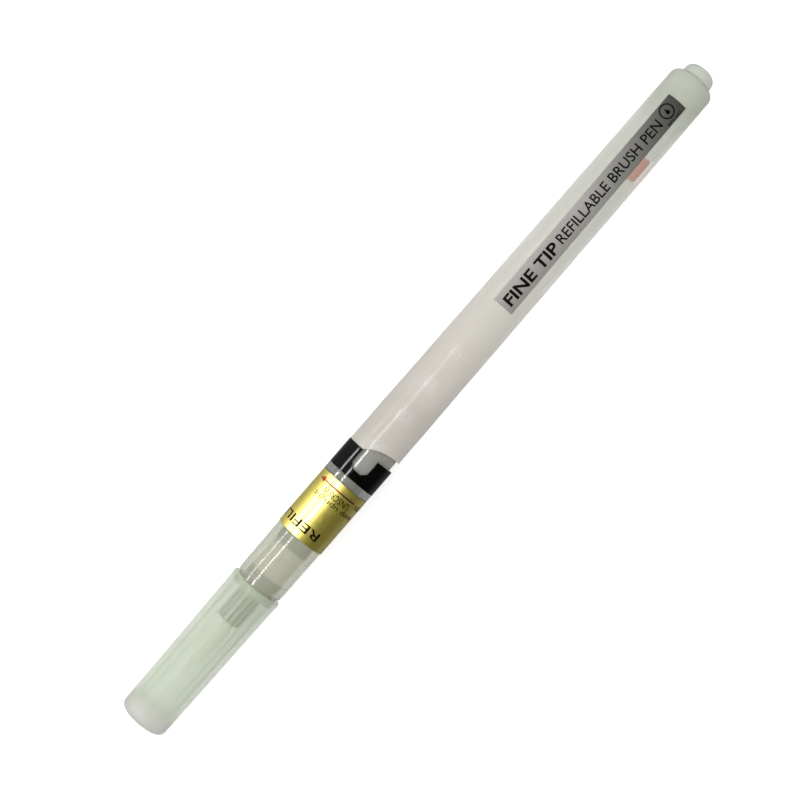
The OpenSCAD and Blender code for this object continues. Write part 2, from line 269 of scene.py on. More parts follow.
class Nodes:
    """A small helper that builds one material's node tree."""

    def __init__(self, name, colour, roughness, **inputs):
        self.material = bpy.data.materials.new(name)
        self.material.use_nodes = True
        self.tree = self.material.node_tree
        self.shader = self.tree.nodes["Principled BSDF"]
        self.shader.inputs["Base Color"].default_value = (*colour, 1)
        self.shader.inputs["Roughness"].default_value = roughness
        for key, value in inputs.items():
            self.shader.inputs[key.replace("_", " ")].default_value = value
        self.coordinates = self.tree.nodes.new("ShaderNodeTexCoord").outputs["Object"]

    def link(self, output, target):
        self.tree.links.new(output, target)

    def noise(self, size, detail=3.0, stretch=(1, 1, 1)):
        """Noise whose features are about size across, in metres."""
        mapping = self.tree.nodes.new("ShaderNodeMapping")
        mapping.inputs["Scale"].default_value = stretch
        self.link(self.coordinates, mapping.inputs["Vector"])
        node = self.tree.nodes.new("ShaderNodeTexNoise")
        node.inputs["Scale"].default_value = 1 / size
        node.inputs["Detail"].default_value = detail
        self.link(mapping.outputs["Vector"], node.inputs["Vector"])
        return node.outputs["Fac"]

    def ranged(self, value, low, high, to_low, to_high):
        """The value mapped from one range to another, and held at the ends."""
        node = self.tree.nodes.new("ShaderNodeMapRange")
        for key, number in (("From Min", low), ("From Max", high), ("To Min", to_low), ("To Max", to_high)):
            node.inputs[key].default_value = number
        self.link(value, node.inputs["Value"])
        return node.outputs["Result"]

    def blend_colour(self, factor, first, second):
        """A mix of two colours, each a tuple or another node's output."""
        node = self.tree.nodes.new("ShaderNodeMix")
        node.data_type = "RGBA"
        self.link(factor, node.inputs["Factor"])
        for key, colour in (("A", first), ("B", second)):
            socket = [s for s in node.inputs if s.name == key and s.type == "RGBA"][0]
            if isinstance(colour, tuple):
                socket.default_value = (*colour, 1)
            else:
                self.link(colour, socket)
        return [s for s in node.outputs if s.type == "RGBA"][0]

    def alpha(self, output):
        self.link(output, self.shader.inputs["Alpha"])

    def stops(self, value, points):
        """A value that runs through the given (position, value) points."""
        node = self.tree.nodes.new("ShaderNodeValToRGB")
        low, high = points[0][0], points[-1][0]
        self.link(self.ranged(value, low, high, 0, 1), node.inputs["Fac"])
        elements = node.color_ramp.elements
        while len(elements) < len(points):
            elements.new(0.5)
        for element, (position, grey) in zip(elements, points):
            element.position = (position - low) / (high - low)
        for element, (position, grey) in zip(elements, points):
            element.color = (grey, grey, grey, 1)
        return node.outputs["Color"]

    def wave(self, value, period, start):
        """A sine of the value, from -1 to 1, with its first crest at start."""
        phase = self.ranged(value, start, start + period, math.pi / 2, math.pi * 5 / 2)
        phase.node.clamp = False
        node = self.tree.nodes.new("ShaderNodeMath")
        node.operation = "SINE"
        self.link(phase, node.inputs[0])
        return node.outputs[0]

    def angle(self):
        """Angle round the pen from the top towards -Y, in radians."""
        node = self.tree.nodes.new("ShaderNodeMath")
        node.operation = "ARCTAN2"
        self.link(self.ranged(self.axis("Y"), -1, 1, 1, -1), node.inputs[0])
        self.link(self.ranged(self.axis("Z"), AXIS_Z - 1, AXIS_Z + 1, -1, 1), node.inputs[1])
        return node.outputs[0]

    def distance(self):
        """Distance from the origin."""
        node = self.tree.nodes.new("ShaderNodeVectorMath")
        node.operation = "LENGTH"
        self.link(self.coordinates, node.inputs[0])
        return node.outputs["Value"]

    def times(self, first, second):
        """The product of two values."""
        node = self.tree.nodes.new("ShaderNodeMath")
        node.operation = "MULTIPLY"
        self.link(first, node.inputs[0])
        self.link(second, node.inputs[1])
        return node.outputs[0]

    def axis(self, letter):
        """One coordinate, in metres."""
        node = self.tree.nodes.new("ShaderNodeSeparateXYZ")
        self.link(self.coordinates, node.inputs["Vector"])
        return node.outputs[letter]

    def colour(self, output):
        self.link(output, self.shader.inputs["Base Color"])

    def roughness(self, output):
        self.link(output, self.shader.inputs["Roughness"])

    def bump(self, height, depth):
        """Adds relief of the given depth to any that is there already."""
        node = self.tree.nodes.new("ShaderNodeBump")
        node.inputs["Strength"].default_value = 1.0
        node.inputs["Distance"].default_value = depth
        self.link(height, node.inputs["Height"])
        if self.shader.inputs["Normal"].is_linked:
            self.link(self.shader.inputs["Normal"].links[0].from_socket, node.inputs["Normal"])
        self.link(node.outputs["Normal"], self.shader.inputs["Normal"])


def clear_plastic(name, colour, deep, alpha, roughness, grain=0.004 * MM, **inputs):
    """Translucent moulded plastic: slow streaks of colour along the pen, and a fine satin grain."""
    n = Nodes(name, colour, roughness, Alpha=alpha, IOR=1.49, **inputs)
    flow = (0.25, 1, 1)
    n.colour(n.blend_colour(n.ranged(n.noise(6 * MM, 4, flow), 0.3, 0.7, 0, 1), colour, deep))
    n.roughness(n.ranged(n.noise(0.9 * MM, 4), 0.3, 0.7, roughness * 0.85, roughness * 1.2))
    n.bump(n.noise(0.35 * MM, 2), grain)
    n.bump(n.noise(3 * MM, 2, flow), 5 * grain)
    return n.material


def solid_plastic(name, colour, worn, roughness, grain=0.3 * MM, depth=0.004 * MM, ior=1.49, **inputs):
    """Opaque plastic, ink or film, a little uneven in colour and gloss."""
    n = Nodes(name, colour, roughness, IOR=ior, **inputs)
    n.colour(n.blend_colour(n.ranged(n.noise(4 * MM, 5), 0.45, 0.75, 0, 1), colour, worn))
    n.roughness(n.ranged(n.noise(1.5 * MM, 4), 0.3, 0.7, roughness * 0.8, roughness * 1.25))
    n.bump(n.noise(grain, 3), depth)
    return n.material


def foil_paper(name, colour, deep, roughness, grain, ripple, **inputs):
    """Metallised film, with a fine grain and slow ripples that break up its reflections."""
    n = Nodes(name, colour, roughness, **inputs)
    n.colour(n.blend_colour(n.ranged(n.noise(3 * MM, 4), 0.3, 0.7, 0, 1), colour, deep))
    n.roughness(n.ranged(n.noise(grain * 3, 3), 0.3, 0.7, roughness * 0.85, roughness * 1.2))
    n.bump(n.noise(grain, 2), 0.003 * MM)
    n.bump(n.noise(5 * MM, 2), ripple)
    return n.material


def felt_material():
    """Pressed fibre: fine tangled strands along the pen."""
    n = Nodes("felt", (0.85, 0.80, 0.68), 0.95, Sheen_Weight=0.3)
    strands = n.noise(0.12 * MM, 6, (0.2, 1, 1))
    n.colour(n.blend_colour(n.ranged(strands, 0.35, 0.65, 0, 1), (0.74, 0.69, 0.57), (0.94, 0.90, 0.79)))
    n.bump(strands, 0.05 * MM)
    return n.material


def filament_material():
    """Soft synthetic filaments, a little darker towards the root, with a faint painted glow."""
    # Painted glow: a faint white emission that brightens the filaments from within.
    n = Nodes("filament", (0.8, 0.8, 0.7), 0.45, Emission_Color=(0.8, 0.85, 0.75, 1), Emission_Strength=0.14)
    along = n.ranged(n.axis("X"), BRUSH_START, NOZZLE_START, 1, 0)
    n.colour(n.blend_colour(along, (0.80, 0.79, 0.70), (0.92, 0.91, 0.86)))
    n.roughness(n.ranged(n.noise(0.5 * MM, 3), 0.3, 0.7, 0.35, 0.55))
    return n.material


def cap_material():
    """Faintly green translucent plastic with streaks along it; the thick closed end is greyer and denser."""
    n = Nodes("cap_outer", (0.66, 0.72, 0.57), 0.42, IOR=1.49)
    streaks = n.ranged(n.noise(1.6 * MM, 3, (0.03, 1, 1)), 0.3, 0.7, 0, 1)
    clear = n.blend_colour(streaks, (0.64, 0.73, 0.54), (0.73, 0.81, 0.63))
    closed = n.ranged(n.axis("X"), FRONT + 2.4 * MM, FRONT + 5.4 * MM, 0, 1)
    n.colour(n.blend_colour(closed, (0.72, 0.72, 0.665), clear))
    density = [(FRONT + 2.4 * MM, 0.72), (FRONT + 5.4 * MM, 0.46), (CAP_END - 3 * MM, 0.46), (CAP_END, 0.6)]
    n.alpha(n.stops(n.axis("X"), density))
    n.roughness(n.ranged(n.noise(0.9 * MM, 4), 0.3, 0.7, 0.36, 0.5))
    n.bump(n.noise(0.35 * MM, 2), 0.004 * MM)
    return n.material


def nozzle_material():
    """Frosted plastic with painted shade in its flutes, deepest at the front."""
    n = Nodes("nozzle_plastic", (0.5, 0.53, 0.42), 0.3, Alpha=0.9, IOR=1.49)
    # Painted shade: the flutes and the front of the nozzle are coloured near black, standing in for their
    # shadow.
    flutes = n.ranged(n.wave(n.angle(), math.pi / 6, 0), -0.2, 0.9, 0, 1)
    shade = [(NOZZLE_START, 1), (NOZZLE_START + 1.5 * MM, 1), (NOZZLE_START + 3 * MM, 0.85)]
    front = n.stops(n.axis("X"), shade)
    n.colour(n.blend_colour(n.times(flutes, front), (0.50, 0.53, 0.42), (0.03, 0.035, 0.02)))
    n.roughness(n.ranged(n.noise(0.9 * MM, 4), 0.3, 0.7, 0.25, 0.36))
    n.bump(n.noise(0.35 * MM, 2), 0.004 * MM)
    return n.material


def barrel_material():
    """Milky squeeze plastic: pinkish and dense at the mouth, clearer and greener towards the tail, and
    dense again over the plug. Painted highlight glints lie over the dents on the lit top of the front, and
    it thins where the sticker is glued to its far side."""
    n = Nodes("barrel_milky", (0.6, 0.57, 0.52), 0.34, IOR=1.25, Coat_Weight=0.15, Coat_Roughness=0.08)
    streaks = n.ranged(n.noise(9 * MM, 4, (0.2, 1, 1)), 0.3, 0.7, 0, 1)
    front = n.blend_colour(streaks, (0.81, 0.76, 0.69), (0.79, 0.76, 0.68))
    rear = n.blend_colour(streaks, (0.66, 0.695, 0.59), (0.64, 0.685, 0.57))
    along = n.ranged(n.axis("X"), BARREL_START + 35 * MM, STRIP_START + 45 * MM, 0, 1)
    # Painted highlight: pale glints over the dents on the lit upper +Y side of the barrel's front, beside
    # the highlight line.
    glint_pitch, first_glint = 8.3 * MM, BARREL_START + 2.3 * MM
    painted_glints = n.ranged(n.wave(n.axis("X"), glint_pitch, first_glint), 0, 1, 0, 0.9)
    painted_glints = n.times(painted_glints, n.stops(n.axis("Y"), [(-2 * MM, 0), (0, 1), (1.4 * MM, 1), (2.4 * MM, 0)]))
    painted_glints = n.times(painted_glints, n.ranged(n.axis("X"), STRIP_START - 13 * MM, STRIP_START - 8 * MM, 1, 0))
    painted_glints = n.times(painted_glints, n.ranged(n.axis("Z"), AXIS_Z, AXIS_Z + 1 * MM, 0, 1))
    painted_glints = n.times(painted_glints, n.ranged(n.noise(0.6 * MM, 3), 0.4, 0.58, 0, 1))
    n.colour(n.blend_colour(painted_glints, n.blend_colour(along, front, rear), (0.92, 0.88, 0.84)))
    density = n.stops(n.axis("X"), [
        (BARREL_START + 10 * MM, 0.82), (STRIP_START + 10 * MM, 0.45),
        (BARREL_END - 12 * MM, 0.45), (BARREL_END - 3.5 * MM, 0.82),
    ])
    soft = 0.5 * MM
    before = n.ranged(n.axis("X"), STICKER_START - soft, STICKER_START + soft, 0, 1)
    after = n.ranged(n.axis("X"), STICKER_END - soft, STICKER_END + soft, 1, 0)
    under = n.ranged(n.axis("Z"), AXIS_Z - 3 * MM, AXIS_Z - 2 * MM, 1, 0)
    far_side = n.ranged(n.axis("Y"), 0.5 * MM, 1.2 * MM, 1, 0)
    glued = n.times(n.times(before, after), n.times(under, far_side))
    n.alpha(n.times(density, n.ranged(glued, 0, 1, 1, 0.2)))
    n.roughness(n.ranged(n.noise(1.1 * MM, 4), 0.3, 0.7, 0.3, 0.4))
    n.bump(n.noise(0.4 * MM, 2), 0.002 * MM)
    return n.material


def gold_material():
    """Lacquered gold film."""
    colour, deep, grain, ripple = (1.0, 0.83, 0.085), (0.95, 0.78, 0.065), 0.25 * MM, 0.05 * MM
    lacquer = {"Coat_Weight": 1.0, "Coat_IOR": 2.4, "Coat_Roughness": 0.38}
    return foil_paper("gold_foil", colour, deep, 0.44, grain, ripple, Metallic=0.9, **lacquer)


def black_material():
    """Glossy black plastic."""
    colour, worn = (0.0015, 0.0015, 0.0015), (0.004, 0.0035, 0.003)
    return solid_plastic("black_plastic", colour, worn, 0.12, 0.5 * MM, 0.002 * MM, 1.33)


def red_material():
    """Red film with a painted glow, standing in for the light that reaches it through the barrel."""
    glow = {"Emission_Color": (0.38, 0.025, 0.015, 1), "Emission_Strength": 0.9}
    return solid_plastic("red_film", (0.45, 0.06, 0.05), (0.38, 0.05, 0.04), 0.45, **glow)


def ink_material():
    """Matt black printing ink."""
    colour, worn = (0.001, 0.001, 0.001), (0.004, 0.003, 0.002)
    return solid_plastic("print_ink", colour, worn, 0.6, 0.2 * MM, 0.002 * MM, 1.2)


def edge_material():
    """The cut edge of the gold film, where its paper shows."""
    colour, deep = (0.55, 0.48, 0.30), (0.5, 0.42, 0.22)
    return foil_paper("foil_edge", colour, deep, 0.5, 0.3 * MM, 0.02 * MM, Metallic=1)


def glassy_plastic(name, colour, deep, roughness, transmission):
    """Clear plastic that bends light, polished enough to show almost no grain."""
    inputs = {"grain": 0.001 * MM, "Transmission_Weight": transmission}
    return clear_plastic(name, colour, deep, 1, roughness, **inputs)


def silver_material():
    """Metallised film with painted shade that darkens it towards its right end."""
    n = Nodes("silver_foil", (0.36, 0.35, 0.335), 0.5, Metallic=0.15, IOR=1.35)
    along = n.ranged(n.axis("X"), STRIP_START, STRIP_END, 0, 1)
    # Painted shade: the right half of the film fades from its lit colour to near black.
    light, dark = (0.40, 0.385, 0.362), (0.065, 0.063, 0.052)
    n.colour(n.blend_colour(n.ranged(along, 0.5, 1, 0, 1), light, dark))
    n.roughness(n.ranged(n.noise(0.5 * MM, 3), 0.3, 0.7, 0.45, 0.6))
    n.bump(n.noise(0.16 * MM, 2), 0.003 * MM)
    return n.material


def arrow_material():
    """Ink that runs from black at the tail of the arrow to red at its head."""
    n = Nodes("arrow_ink", (0.5, 0.02, 0.02), 0.5)
    along = n.ranged(n.axis("Y"), -1.2 * MM, 0.6 * MM, 0, 1)
    n.colour(n.blend_colour(along, (0.03, 0.015, 0.01), (0.52, 0.02, 0.015)))
    n.roughness(n.ranged(n.noise(0.4 * MM, 3), 0.3, 0.7, 0.4, 0.6))
    return n.material


CAP_OUTER = cap_material()
CAP_INNER = clear_plastic("cap_inner", (0.64, 0.72, 0.56), (0.60, 0.68, 0.50), 0.14, 0.5)
GRIP_OUTER = clear_plastic("grip_outer", (0.71, 0.72, 0.575), (0.67, 0.69, 0.52), 0.56, 0.1, Coat_Weight=0.5)
GRIP_INNER = clear_plastic("grip_inner", (0.60, 0.61, 0.50), (0.56, 0.58, 0.46), 0.12, 0.4)
NECK_OUTER = glassy_plastic("neck_outer", (0.66, 0.65, 0.60), (0.62, 0.61, 0.56), 0.16, 0.5)
NECK_INNER = glassy_plastic("neck_inner", (0.62, 0.62, 0.57), (0.58, 0.58, 0.52), 0.25, 0.5)
COLLAR = glassy_plastic("neck_collar", (0.68, 0.69, 0.62), (0.63, 0.64, 0.57), 0.12, 0.78)
NOZZLE_PLASTIC = nozzle_material()
WHITE = solid_plastic("white_plastic", (0.74, 0.74, 0.70), (0.68, 0.68, 0.63), 0.4)
GREY = solid_plastic("grey_plastic", (0.11, 0.11, 0.09), (0.16, 0.16, 0.13), 0.45)
DARK_GREY = solid_plastic("dark_grey_plastic", (0.055, 0.055, 0.04), (0.08, 0.08, 0.06), 0.45)
FELT = felt_material()
GOLD = gold_material()
FOIL_EDGE = edge_material()
BLACK = black_material()
RUBBER = solid_plastic("seal_rubber", (0.015, 0.015, 0.015), (0.03, 0.03, 0.03), 0.6)
FILAMENT = filament_material()
BARREL = barrel_material()
BARREL_INNER = clear_plastic("barrel_inner", (0.64, 0.63, 0.55), (0.60, 0.60, 0.51), 0.12, 0.5)
SILVER = silver_material()
RED = red_material()
PLUG = clear_plastic("plug_plastic", (0.74, 0.77, 0.68), (0.70, 0.74, 0.63), 0.75, 0.36)
INK_BLACK = ink_material()
ARROW_INK = arrow_material()


# ---------------------------------------------------------------- pieces


def make_cap():
    """Push-on cap: solid closed end, tapered wall, rounded lip, and ribs along the inside."""
    end_r, mouth_r, corner, lip_round = 5.42 * MM, 5.78 * MM, 1.25 * MM, 0.6 * MM
    floor, cavity_end_r, cavity_corner = FRONT + 3.4 * MM, 4.36 * MM, 1.5 * MM
    bore_r, cavity_top_r = 4.96 * MM, 4.7 * MM
    snug, snap = GRIP_START - 0.6 * MM, SHOULDER - 1.5 * MM
    ribs, rib_w, rib_r = 8, 0.42 * MM, 4 * MM
    rib_start, rib_end = floor + 1.6 * MM, floor + 29.6 * MM

    def with_ribs(station, radius, angle):
        turn = math.pi * 2 / ribs
        off = abs((angle + turn / 2) % turn - turn / 2) * radius
        inside = rib_start - 1e-6 < station < rib_end + 1e-6
        if inside and rib_r < radius < cavity_top_r + 1e-6 and off < rib_w:
            radius = mix(rib_r, radius, smooth((off - rib_w * 0.3) / (rib_w * 0.6)))
        return station, radius

    outer = [(FRONT, 0), (FRONT, 2.2 * MM), (FRONT, 3.9 * MM)]
    outer += arc(FRONT + corner, end_r - corner, corner, -90, 0, 14)
    outer += [(CAP_END - lip_round - 1.2 * MM, mouth_r - 0.004 * MM)]
    outer += arc(CAP_END - lip_round, LIP_R - lip_round, lip_round, -25, 90, 12)
    inner = [(CAP_END, bore_r + 0.12 * MM), (CAP_END - 0.12 * MM, bore_r)]
    inner += [(snap + 0.7 * MM, bore_r), (snap + 0.3 * MM, bore_r + 0.1 * MM)]
    inner += [(snap - 0.3 * MM, bore_r + 0.1 * MM), (snap - 0.7 * MM, bore_r)]
    inner += [(snug, bore_r), (snug - 0.3 * MM, cavity_top_r)]
    rib_edge = 0.12 * MM
    steps = [rib_end + rib_edge, rib_end, rib_end - rib_edge]
    steps += [rib_start + rib_edge, rib_start, rib_start - rib_edge]
    slope_start = snug - 0.3 * MM
    slope_end = floor + cavity_corner
    for station in steps:
        t = (slope_start - station) / (slope_start - slope_end)
        inner.append((station, mix(cavity_top_r, cavity_end_r, t)))
    inner += arc(floor + cavity_corner, cavity_end_r - cavity_corner, cavity_corner, 0, -90, 10)
    inner += [(floor, 0)]
    cap = turned("cap_shell", [(0, outer), (1, inner)], [CAP_OUTER, CAP_INNER], with_ribs, 240)
    belongs(cap, "cap", "cap_plastic", "cap")


def make_bristles():
    """The brush as single filaments, held in the nozzle and drawn to a point."""
    rng = random.Random(11)
    count, sides, rings = 520, 5, 10
    root_r, belly_r, tip_r = 1.72 * MM, 2.15 * MM, 0.16 * MM
    length = NOZZLE_START - BRUSH_START
    belly = NOZZLE_START - 0.35 * length
    thick, thin = 0.062 * MM, 0.012 * MM

    def spread(station):
        if station > belly:
            return mix(belly_r, root_r, smooth((station - belly) / (0.35 * length)))
        t = (belly - station) / (belly - BRUSH_START)
        return mix(belly_r, tip_r, smooth(t) * 0.55 + t * 0.45)

    bm = bmesh.new()
    for i in range(count):
        share = math.sqrt((i + 0.5) / count)
        angle = i * GOLDEN_ANGLE
        reach = BRUSH_START + 0.15 * MM + rng.random() ** 1.6 * mix(1.2, 5.2, share) * MM
        sway = rng.uniform(-0.12, 0.12)
        loops = []
        for k in range(rings + 1):
            t = k / rings
            station = mix(BRUSH_END - 0.1 * MM, reach, t)
            radius = spread(station) * share
            twist = angle + sway * t * t
            size = mix(thick, thin, smooth((t - 0.45) / 0.55))
            centre = place(station, radius, twist)
            loop = []
            for j in range(sides):
                a = 2 * math.pi * j / sides
                loop.append(bm.verts.new(centre + Vector((0, size * math.cos(a), size * math.sin(a)))))
            loops.append(loop)
        for a, b in zip(loops, loops[1:]):
            for j in range(sides):
                n = (j + 1) % sides
                bm.faces.new([a[j], a[n], b[n], b[j]])
        bm.faces.new(loops[0][::-1])
        bm.faces.new(loops[-1])
    tuft = add_object("brush_filaments", bm, [FILAMENT], 80)
    belongs(tuft, "front_section", "filament", "bristle_tuft")


def make_grip():
    """Front section: spigot for the cap, shoulder, fine rounded rings and the seat for the foil."""
    hole_r, spigot_r, front_r, rear_r = 2.75 * MM, 4.88 * MM, 5.34 * MM, 5.46 * MM
    front_bore, rear_bore, seat_r = 4 * MM, 4.3 * MM, 5.52 * MM
    snap = SHOULDER - 1.5 * MM
    wall = GRIP_START + 1 * MM
    step_back = SHOULDER + 12.9 * MM
    pitch, ring_height, first = 0.7 * MM, 0.06 * MM, SHOULDER + 0.8 * MM
    ring_count = int((WRAP_START - SHOULDER - 1.4 * MM) / pitch)

    outer = [(GRIP_START, hole_r), (GRIP_START, spigot_r - 0.4 * MM)]
    outer += arc(GRIP_START + 0.4 * MM, spigot_r - 0.4 * MM, 0.4 * MM, -80, 0, 5)
    outer += [(snap - 0.35 * MM, spigot_r), (snap, spigot_r + 0.05 * MM), (snap + 0.35 * MM, spigot_r)]
    outer += [(SHOULDER, spigot_r), (SHOULDER, front_r - 0.15 * MM)]
    outer += arc(SHOULDER + 0.15 * MM, front_r - 0.15 * MM, 0.15 * MM, -75, 0, 4)
    per_ring = 8
    for i in range(ring_count * per_ring + 1):
        station = first + i * pitch / per_ring
        base = mix(front_r, rear_r, (station - SHOULDER) / (WRAP_START - SHOULDER))
        lift = 0.5 - 0.5 * math.cos(2 * math.pi * i / per_ring)
        outer.append((station, base + ring_height * lift ** 0.7))
    outer += [(WRAP_START - 0.1 * MM, rear_r), (WRAP_START, seat_r), (GRIP_END, seat_r)]
    inner = [(GRIP_END, rear_bore), (step_back, rear_bore), (step_back, front_bore)]
    inner += [(wall, front_bore), (wall, hole_r)]
    grip = turned("grip_tube", [(0, outer), (1, inner)], [GRIP_OUTER, GRIP_INNER], sharp=50)
    belongs(grip, "front_section", "grip_plastic", "grip_shell")


def make_wrap():
    """Gold foil label with soft edges and an overlap along its underside."""
    inner_r = WRAP_R - FOIL
    edge = 0.03 * MM
    overlap = 0.05 * MM

    def lapped(station, radius, angle):
        away = (angle - math.pi) / math.radians(8)
        if radius > inner_r + edge and 0 < away < 1:
            radius -= overlap * smooth(away * 8) * smooth(4 - away * 4)
        return station, radius

    outer = [(WRAP_START, inner_r), (WRAP_START, WRAP_R - edge), (WRAP_START + edge, WRAP_R)]
    outer += [(mix(WRAP_START, WRAP_END, i / 12), WRAP_R) for i in range(1, 12)]
    outer += [(WRAP_END - edge, WRAP_R), (WRAP_END, WRAP_R - edge)]
    wrap = turned("gold_wrap", [(0, outer), (1, [(WRAP_END, inner_r)])], [GOLD, FOIL_EDGE], lapped)
    belongs(wrap, "front_section", "gold_foil", "wrap_label")


def on_wrap(x, y, height):
    """x along the pen from the label's front edge, y round it from the top towards +Y."""
    return place(WRAP_START + x, WRAP_R + height, -y / WRAP_R)


def make_wrap_print():
    """Generic printing round the gold label: a bold word, three finer lines and an arrow."""
    bold = turned_to_arc(words("REFILL", 1.9 * MM, 12.2 * MM, 0.008))
    small = turned_to_arc(words("keep upright", 1.5 * MM, 11.5 * MM))
    medium = turned_to_arc(words("UNSCREW", 1.4 * MM, 6.9 * MM, 0.006))
    sheets = [moved(bold, 3.5 * MM, -3.1 * MM), moved(small, 10.4 * MM, -7.2 * MM)]
    lower = turned_to_arc(words("OPEN", 1.1 * MM, 3.4 * MM))
    sheets += [moved(medium, 11.95 * MM, -3.8 * MM), moved(lower, 12.75 * MM, -8.6 * MM)]
    ink = wrapped("wrap_print", sheets, INK, on_wrap, [INK_BLACK])
    belongs(ink, "front_section", "black_plastic")

    shaft, head_half, head_len, tail, tip = 0.16 * MM, 0.62 * MM, 1.7 * MM, -4.4 * MM, 5.9 * MM
    x = 12.65 * MM
    stem = [(x - shaft, tail), (x + shaft, tail), (x + shaft, tip - head_len), (x - shaft, tip - head_len)]
    head = [(x - head_half, tip - head_len), (x + head_half, tip - head_len), (x, tip)]
    arrow = wrapped("wrap_arrow", [outline_sheet(stem, head)], INK, on_wrap, [ARROW_INK])
    belongs(arrow, "front_section", "red_film")


def thread_lift(station, angle, start, turns):
    """Share of the thread's full height at a point, from 0 to 1, for a right-handed ridge."""
    turn = (-angle / (2 * math.pi)) % 1.0
    best = 0.0
    for k in range(int(turns) + 1):
        along = turn + k
        if along > turns:
            continue
        off = abs(station - start - along * THREAD_PITCH)
        fade = smooth(min(along, turns - along) / 0.2)
        best = max(best, fade * smooth((THREAD_BASE / 2 - off) / ((THREAD_BASE - THREAD_CREST) / 2)))
    return best


def make_neck():
    """Clear neck: spigot in the grip, collar, O-ring groove and the screw thread."""
    bore_r, spigot_r, neck_r, core_r, crest_r = 2.4 * MM, 4.27 * MM, 4.95 * MM, 4.1 * MM, 4.6 * MM
    mouth = RING_END + 0.05 * MM
    groove, groove_half, groove_r = mouth + 3.75 * MM, 0.5 * MM, 4.11 * MM
    neck_end = mouth + 4.85 * MM
    thread_start, turns = mouth + 5.95 * MM, 2.75

    def threaded(station, radius, angle):
        if station > neck_end and abs(radius - core_r) < 1e-6:
            lift = thread_lift(station, angle, thread_start, turns)
            radius = mix(core_r, crest_r, lift)
        return station, radius

    outer = [(NECK_START, bore_r), (NECK_START, spigot_r - 0.3 * MM), (NECK_START + 0.3 * MM, spigot_r)]
    outer += [(COLLAR_START, spigot_r)]
    collar = [(COLLAR_START, COLLAR_R - 0.12 * MM)]
    collar += arc(COLLAR_START + 0.12 * MM, COLLAR_R - 0.12 * MM, 0.12 * MM, -80, 0, 4)
    collar += arc(COLLAR_END - 0.12 * MM, COLLAR_R - 0.12 * MM, 0.12 * MM, 0, 80, 4)
    collar += [(COLLAR_END, COLLAR_R - 0.13 * MM), (COLLAR_END, neck_r)]
    rear = [(groove - groove_half, neck_r), (groove - groove_half, groove_r)]
    rear += [(groove + groove_half, groove_r), (groove + groove_half, neck_r)]
    rear += [(neck_end - 0.3 * MM, neck_r), (neck_end, neck_r - 0.3 * MM), (neck_end, core_r)]
    stretch = NECK_END - 0.8 * MM - neck_end
    steps = 84
    rear += [(neck_end + stretch * i / steps, core_r) for i in range(1, steps + 1)]
    rear += [(NECK_END, core_r - 0.3 * MM)]
    strokes = [(0, outer), (2, collar), (0, rear), (1, [(NECK_END, bore_r)])]
    neck = turned("neck_tube", strokes, [NECK_OUTER, NECK_INNER, COLLAR], threaded, sharp=40)
    belongs(neck, "front_section", "neck_plastic", "threaded_neck")


def make_ring():
    """Black spacer ring with a notch that opens towards the barrel."""
    inner_r = 4.98 * MM
    half, depth, corner = 2.08 * MM, 4.3 * MM, 1.05 * MM
    steps = 12
    outer = [(RING_START, inner_r), (RING_START, RING_R)]
    outer += [(mix(RING_START, RING_END, i / steps), RING_R) for i in range(1, steps)]
    ring = turned("ring_body", [(0, outer + [(RING_END, RING_R), (RING_END, inner_r)])], [BLACK])

    back, beyond = RING_END - depth, RING_END + 1 * MM
    profile = [(back, corner - half), (back + corner, -half), (beyond, -half)]
    profile += [(beyond, half), (back + corner, half), (back, half - corner)]
    bm = bmesh.new()
    lower = [bm.verts.new((x, y, AXIS_Z + 2 * MM)) for x, y in profile]
    upper = [bm.verts.new((x, y, AXIS_Z + RING_R + 1 * MM)) for x, y in profile]
    bm.faces.new(lower)
    bm.faces.new(upper[::-1])
    for i in range(len(profile)):
        bm.faces.new([lower[i - 1], lower[i], upper[i], upper[i - 1]])
    cutter = add_object("cutter", bm, [BLACK])

    cut = ring.modifiers.new("notch", "BOOLEAN")
    cut.object, cut.operation, cut.solver = cutter, "DIFFERENCE", "EXACT"
    bevel = ring.modifiers.new("edges", "BEVEL")
    bevel.width, bevel.segments, bevel.limit_method = 0.1 * MM, 3, "ANGLE"
    bevel.angle_limit = math.radians(30)
    bpy.context.view_layer.update()
    evaluated = ring.evaluated_get(bpy.context.evaluated_depsgraph_get())
    mesh = bpy.data.meshes.new_from_object(evaluated)
    ring.modifiers.clear()
    ring.data = mesh
    mesh.set_sharp_from_angle(angle=math.radians(40))
    bpy.data.objects.remove(cutter)
    belongs(ring, "front_section", "black_plastic", "spacer_ring")


def barrel_r(station):
    """Outer radius of the tapered barrel at a station."""
    return mix(BARREL_R, BARREL_TAIL_R, (station - BARREL_START) / (BARREL_END - BARREL_START))


def scalloped_edge(angle):
    """Station of the barrel's front edge, which two hollows cut back at top and bottom."""
    hollow_r, side, back = 9.74 * MM, 4.3 * MM, 7.3 * MM
    across = BARREL_R * math.sin(angle) - side
    reach = math.sqrt(max(0.0, hollow_r ** 2 - across ** 2)) - back
    return max(0.0, reach)


